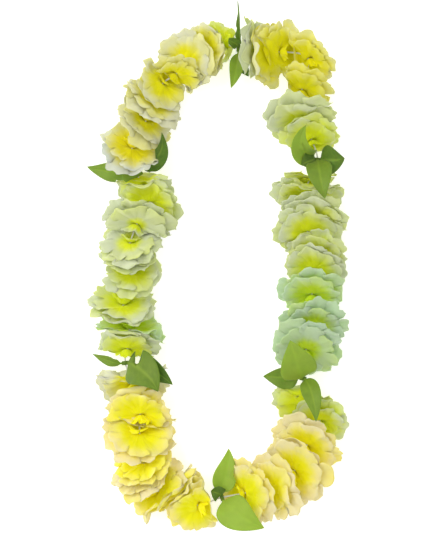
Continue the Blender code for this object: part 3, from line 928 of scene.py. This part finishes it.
LEAF_ALONG, LEAF_ACROSS = 28, 12         # faces along a leaf and across it
LEAF_ROOT = 2.6 * MM             # a leaf starts this far from the cord
LEAF_RISE = 9.0 * MM             # and leaves the collar in its first direction up to here
STALK = 0.1                      # share of a leaf's length that is stalk
STALK_HALF_WIDTH = 0.9 * MM
MIDRIB_WIDTH = 0.06              # share of the half width
SIDE_VEINS, VEIN_SLANT = 7, 0.35         # on each side, and how far one reaches along the leaf, as a share
SIDE_VEIN_SHARE, VEIN_POWER = 0.6, 6     # a side vein against the midrib, and how narrow it is
VEIN_DEPTH = 0.25 * MM
LEAF_WAVE = 0.9 * MM
LEAF_WAVES = ((9, 1.0), (17, 0.5))       # radians along a leaf, and share
WIDEST, BLUNTNESS, TAPER = 0.8, 0.85, 0.25   # less is widest nearer the collar, blunter, fuller at the tip
FIRST_WAY = 0.3                  # how much of the way to its tip shows in how a leaf leaves the collar
NUDGE = 0.02                     # share of a leaf's length over which its direction is taken
LEAF_GAP = 0.5 * MM              # from a leaf to a blossom's plane
PRESS_ROUNDS = 4
PRESS_START = 0.25               # share of a leaf's length that isn't pressed, next to its collar


def bezier(points, t):
    """Points on the cubic Bezier curve of four points, for an array of shares t."""
    a, b, c, d = (np.array(p) for p in points)
    t = np.asarray(t)[:, None]
    s = 1 - t
    return a * s ** 3 + b * 3 * s * s * t + c * 3 * s * t * t + d * t ** 3


def leaf_points(t, across, spray, row, number):
    """Where a leaf's vertices lie: along a bowed line to its tip, folded up at the midrib and waved."""
    x, y, z, sideways, upwards, half_width, roll, fold, _ = row
    hub, along = spray["centre"], spray["along"]
    tip = place(x, y, z * MM)
    away = tip - hub
    level = Vector((away.x, away.y, 0)).normalized()
    side = Vector((-level.y, level.x, 0))
    bow = side * sideways * MM + Vector((0, 0, upwards * MM))
    start = away * FIRST_WAY + bow
    start = (start - along * start.dot(along)).normalized()
    bend = hub + start * LEAF_RISE
    path = (hub + start * LEAF_ROOT, bend, bend.lerp(tip, 0.5) + bow, tip)
    line = bezier(path, t)
    ahead = unit(bezier(path, np.minimum(t + NUDGE, 1)) - bezier(path, np.maximum(t - NUDGE, 0)))
    wide = np.cross(ahead, (0, 0, 1))
    steep = np.linalg.norm(wide, axis=1) < 0.05
    wide[steep] = np.array(side.cross(level))
    wide = unit(wide)
    up = np.cross(wide, ahead)
    turn = (math.radians(roll) * np.minimum(t * 2, 1))[:, None]
    wide, up = wide * np.cos(turn) + up * np.sin(turn), up * np.cos(turn) - wide * np.sin(turn)
    body = np.clip((t - STALK) / (1 - STALK), 0, 1)
    swell = np.sin(math.pi * body ** WIDEST) ** BLUNTNESS * (1 - TAPER * body ** 3)
    width = np.maximum(half_width * MM * swell, STALK_HALF_WIDTH * (1 - t) ** 0.5)
    folded = math.radians(fold) * smooth(body * 4)
    reach = across * width
    points = line + wide * (reach * np.cos(folded))[:, None] + up * (np.abs(reach) * np.sin(folded))[:, None]
    phase = np.random.default_rng(number).uniform(0, math.tau, len(LEAF_WAVES))
    wave = sum(share * np.sin(t * turns + shift) * across ** power
               for power, ((turns, share), shift) in enumerate(zip(LEAF_WAVES, phase), 1))
    veins = vein_relief(t, across)
    points = points + up * (LEAF_WAVE * wave * swell - VEIN_DEPTH * veins)[:, None]
    return points, veins


def vein_relief(t, across):
    """1 on the midrib and side veins and 0 between them."""
    midrib = np.exp(-(across / MIDRIB_WIDTH) ** 2)
    ladder = (t - VEIN_SLANT * np.abs(across)) * SIDE_VEINS * math.tau
    side = np.maximum(np.cos(ladder), 0) ** VEIN_POWER * (1 - np.abs(across)) * SIDE_VEIN_SHARE
    return np.maximum(midrib, side)


def press_leaf(points, planes):
    """Pushes a leaf back from blossoms that it would run through, and up off the table."""
    for _ in range(PRESS_ROUNDS):
        for plane in planes:
            over = past_plane(points, plane) + LEAF_GAP
            near = np.linalg.norm(points - plane["centre"], axis=1) < plane["reach"]
            pushed = points - np.outer(over, plane["side"] * plane["normal"])
            points = np.where(((over > 0) & near)[:, None], pushed, points)
        points[:, 2] = np.maximum(points[:, 2], TABLE_GAP)
    return points


def make_leaf(spray, row, planes, material, number):
    """One leaf as a finished piece."""
    deselect()
    bpy.ops.mesh.primitive_grid_add(x_subdivisions=LEAF_ALONG, y_subdivisions=LEAF_ACROSS, size=2)
    piece = bpy.context.object
    piece.name = f"{spray['leaf']}_{number % 10}"
    mesh = piece.data
    grid = vertex_array(mesh)
    t, across = (grid[:, 0] + 1) / 2, grid[:, 1]
    points, veins = leaf_points(t, across, spray, row, number)
    set_vertices(mesh, points)
    pressed = press_leaf(points.copy(), planes)
    points = np.where((t > PRESS_START)[:, None], pressed, points)
    half_width = row[5] * MM
    length = float(np.linalg.norm(np.array(place(row[0], row[1], row[2] * MM) - spray["centre"])))
    flat = np.stack([t * length, (across + 1) * half_width], axis=1) / CUT_SPAN
    mesh.uv_layers[0].name = "cut"
    set_uv(mesh, mesh.uv_layers[0], flat)
    set_vertices(mesh, points)
    set_attribute(mesh, "vein", veins)
    set_attribute(mesh, "tone", np.full(len(t), row[8]))
    apply_modifier(piece, "SOLIDIFY", thickness=cloth().leaf_thickness, offset=0.0)
    piece.data.shade_smooth()
    finish_piece(piece, material, "leaf_fabric", spray["leaf"])


TUBE_SIDES = 28
COLLAR = {"radius": 3.2 * MM, "wall": 1.2 * MM, "length": 3.6 * MM, "rounding": 0.3 * MM}
COLLAR_TONE = 0.2                # how light a collar's green is, from 0 to 1
SPACER = {"radius": 2.2 * MM, "wall": 0.7 * MM, "length": 6.0 * MM, "rounding": 0.2 * MM}


def make_tube(name, centre, along, radius, wall, length, rounding):
    """A short tube with rounded edges round the cord: a circle extruded, thickened and bevelled."""
    deselect()
    bpy.ops.mesh.primitive_circle_add(vertices=TUBE_SIDES, radius=radius, fill_type="NOTHING")
    piece = bpy.context.object
    piece.name = name
    bpy.ops.object.mode_set(mode="EDIT")
    bpy.ops.mesh.extrude_region_move(TRANSFORM_OT_translate={"value": (0, 0, length)})
    bpy.ops.mesh.select_all(action="SELECT")
    bpy.ops.mesh.normals_make_consistent(inside=False)
    bpy.ops.object.mode_set(mode="OBJECT")
    apply_modifier(piece, "SOLIDIFY", thickness=wall, offset=-1.0)
    apply_modifier(piece, "BEVEL", width=rounding, segments=2, limit_method="ANGLE")
    turn = along.to_track_quat("Z", "Y").to_matrix().to_4x4()
    piece.data.transform(Matrix.Translation(centre - along * length / 2) @ turn)
    piece.data.shade_smooth()
    return piece


class LEI_OT_leaf_sprays(bpy.types.Operator):
    """Make the leaf sprays: cloth leaves on a small moulded collar"""
    bl_idname = "lei.leaf_sprays"
    bl_label = "Leaf Sprays"

    def execute(self, context):
        material = leaf_material()
        pieces = threaded_pieces()
        number = 0
        for index, spray in enumerate(pieces):
            if not spray["leaf"]:
                continue
            number += 10
            planes = neighbour_planes(pieces, index)
            for count, row in enumerate(LEAVES[spray["leaf"]], 1):
                make_leaf(spray, row, planes, material, number + count)
            collar = make_tube(f"{spray['leaf']}_collar", spray["centre"], spray["along"], **COLLAR)
            for name, value in (("tone", COLLAR_TONE), ("vein", 0.0)):
                set_attribute(collar.data, name, np.full(len(collar.data.vertices), value))
            finish_piece(collar, material, "leaf_fabric", spray["leaf"])
        return {"FINISHED"}


# The cord, its knot and the spacers

CORD_RADIUS = 0.75 * MM
STRANDS = 3
STRAND_BULGE = 0.16              # depth of the hollows between strands against the cord's radius
TWIST_PITCH = 5.0 * MM           # along the cord, for one turn of a strand
CORD_STEP, CORD_SIDES = 1.6 * MM, 12     # length of a ring of faces, and how many it has


def twisted_tube(name, path, closed=False):
    """A tube along a path whose section is three strands, twisting as it goes."""
    path = [Vector(p) for p in path]
    count = len(path)
    bm = bmesh.new()
    rings = []
    travelled = 0.0
    side = None
    for index, point in enumerate(path):
        before = path[index - 1] if closed or index else path[0]
        after = path[(index + 1) % count] if closed or index < count - 1 else path[-1]
        ahead = (after - before).normalized()
        if side is None:
            side = ahead.orthogonal().normalized()
        side = (side - ahead * side.dot(ahead)).normalized()
        up = ahead.cross(side)
        if index:
            travelled += (point - path[index - 1]).length
        ring = []
        for step in range(CORD_SIDES):
            angle = math.tau * step / CORD_SIDES
            bulge = math.cos(STRANDS * (angle - math.tau * travelled / TWIST_PITCH / STRANDS))
            reach = CORD_RADIUS * (1 - STRAND_BULGE * (1 - bulge) / 2)
            ring.append(bm.verts.new(point + side * reach * math.cos(angle) + up * reach * math.sin(angle)))
        rings.append(ring)
    for index in range(count if closed else count - 1):
        a, b = rings[index], rings[(index + 1) % count]
        for step in range(CORD_SIDES):
            following = (step + 1) % CORD_SIDES
            bm.faces.new((a[step], a[following], b[following], b[step]))
    if not closed:
        bm.faces.new(reversed(rings[0]))
        bm.faces.new(rings[-1])
    mesh = bpy.data.meshes.new(name)
    bm.to_mesh(mesh)
    bm.free()
    piece = bpy.data.objects.new(name, mesh)
    bpy.context.scene.collection.objects.link(piece)
    piece.data.shade_smooth()
    return piece


class LEI_OT_cord(bpy.types.Operator):
    """Make the twisted cotton cord through every piece"""
    bl_idname = "lei.cord"
    bl_label = "Cord"

    def execute(self, context):
        stops = cord_stops(threaded_pieces())
        length = sum((b - a).length for a, b in zip(stops, stops[1:]))
        steps = int(length / CORD_STEP)
        cord = twisted_tube("cord_twisted", [curve_point(stops, step / steps) for step in range(steps + 1)])
        finish_piece(cord, cord_material(), "cord", "cord")
        return {"FINISHED"}


KNOT_STEPS, KNOT_SIZE = 90, 1.15 * MM
KNOT_SQUEEZE = (0.8, 0.65)       # how wide its three turns are along X and Y against a round knot
KNOT_EXIT = 1.5 * MM             # from its middle to where an end leaves it, along X and Y
KNOT_END, END_STEPS = 5.0 * MM, 8
END_SPLAY, END_DROP = 0.35, 0.25         # how far an end strays sideways and droops, for 1 along Y


class LEI_OT_knot(bpy.types.Operator):
    """Make the knot that closes the cord"""
    bl_idname = "lei.knot"
    bl_label = "Knot"

    def execute(self, context):
        middle = place(*KNOT_PLACE)
        loop = []
        for step in range(KNOT_STEPS):
            t = math.tau * step / KNOT_STEPS
            x, y = math.sin(t) + 2 * math.sin(2 * t), math.cos(t) - 2 * math.cos(2 * t)
            turned = Vector((x * KNOT_SQUEEZE[0], y * KNOT_SQUEEZE[1], -math.sin(3 * t)))
            loop.append(middle + KNOT_SIZE * turned)
        knot = twisted_tube("knot_turns", loop, closed=True)
        material = cord_material()
        finish_piece(knot, material, "cord", "knot")
        for number, way in enumerate((-1, 1), 1):
            start = middle + Vector((way * KNOT_EXIT, -KNOT_EXIT, 0))
            route = [start + Vector((way * END_SPLAY * s, -s, -END_DROP * s * s / KNOT_END))
                     for s in np.linspace(0, KNOT_END, END_STEPS)]
            end = twisted_tube(f"knot_end_{number}", route)
            finish_piece(end, material, "cord", "knot")
        return {"FINISHED"}


class LEI_OT_spacers(bpy.types.Operator):
    """Make the short tubes that hold neighbours apart"""
    bl_idname = "lei.spacers"
    bl_label = "Spacers"

    def execute(self, context):
        material = tube_material()
        stops = cord_stops(threaded_pieces())
        for number, index in enumerate(SPACERS_AFTER, 1):
            middle = curve_point(stops, (index + 1.5) / (len(stops) - 1))
            along = (stops[index + 2] - stops[index + 1]).normalized()
            tube = make_tube(f"spacer_{number}_tube", middle, along, **SPACER)
            finish_piece(tube, material, "spacer_tube", f"spacer_{number}")
        return {"FINISHED"}


# The stage

SENSOR = 36.0                    # mm, along the picture's longer side
KEY_PLACE, KEY_SIZE = Vector((-1.3, 0.7, 1.7)), 1.2      # metres
KEY_COLOUR = (1.0, 1.0, 0.98)
CAMERA_SEES = (0.1, 100.0)       # metres, the nearest and the farthest


class LEI_OT_stage(bpy.types.Operator):
    """Make the floor, the soft lights and the camera"""
    bl_idname = "lei.stage"
    bl_label = "Stage"

    def execute(self, context):
        scene, settings = context.scene, context.scene.lei_stage
        deselect()
        bpy.ops.mesh.primitive_plane_add(size=settings.floor_size)
        floor = bpy.context.object
        floor.name = "floor"
        floor.data.materials.append(floor_material())
        bpy.ops.object.light_add(type="AREA", location=KEY_PLACE)
        light = bpy.context.object
        light.name = "key_light"
        light.data.size, light.data.energy, light.data.color = KEY_SIZE, settings.key, KEY_COLOUR
        light.rotation_euler = (-KEY_PLACE).to_track_quat("-Z", "Y").to_euler()
        light.visible_camera = False
        world = bpy.data.worlds.new("studio")
        world.use_nodes = True
        background = world.node_tree.nodes["Background"]
        background.inputs["Color"].default_value = (1.0, 1.0, 1.0, 1.0)
        background.inputs["Strength"].default_value = settings.fill
        scene.world = world
        camera_data = bpy.data.cameras.new("camera")
        camera = bpy.data.objects.new("camera", camera_data)
        scene.collection.objects.link(camera)
        camera_data.sensor_width = SENSOR
        camera_data.lens = SENSOR * settings.distance / (PHOTO_HEIGHT * PIXEL)
        camera.location = (*CENTRE_SHIFT, CORD_HEIGHT + settings.distance)
        camera_data.clip_start, camera_data.clip_end = CAMERA_SEES
        scene.camera = camera
        scene.view_settings.view_transform = "Standard"
        return {"FINISHED"}


class LEI_PT_panel(bpy.types.Panel):
    """Sizes, colours and steps of the lei"""
    bl_idname = "LEI_PT_panel"
    bl_label = "Flower Lei"
    bl_space_type = "VIEW_3D"
    bl_region_type = "UI"
    bl_category = "Lei"

    def draw(self, context):
        layout, scene = self.layout, context.scene
        for operator in OPERATORS:
            layout.operator(operator.bl_idname)
        for group in (scene.lei_cloth, scene.lei_colours, scene.lei_stage):
            box = layout.box()
            for name in group.__annotations__:
                box.prop(group, name)


GROUPS = {"lei_cloth": LeiCloth, "lei_colours": LeiColours, "lei_stage": LeiStage}
OPERATORS = (LEI_OT_stage, LEI_OT_cord, LEI_OT_knot, LEI_OT_spacers, LEI_OT_leaf_sprays, LEI_OT_blossoms)


def register():
    for group in GROUPS.values():
        bpy.utils.register_class(group)
    for name, group in GROUPS.items():
        setattr(bpy.types.Scene, name, PointerProperty(type=group))
    for item in (*OPERATORS, LEI_PT_panel):
        bpy.utils.register_class(item)


def unregister():
    for item in (LEI_PT_panel, *reversed(OPERATORS)):
        bpy.utils.unregister_class(item)
    for name, group in GROUPS.items():
        delattr(bpy.types.Scene, name)
        bpy.utils.unregister_class(group)


def main():
    register()
    bpy.ops.lei.stage()
    bpy.ops.lei.cord()
    bpy.ops.lei.knot()
    bpy.ops.lei.spacers()
    bpy.ops.lei.leaf_sprays()
    bpy.ops.lei.blossoms()


if __name__ == "__main__":
    main()
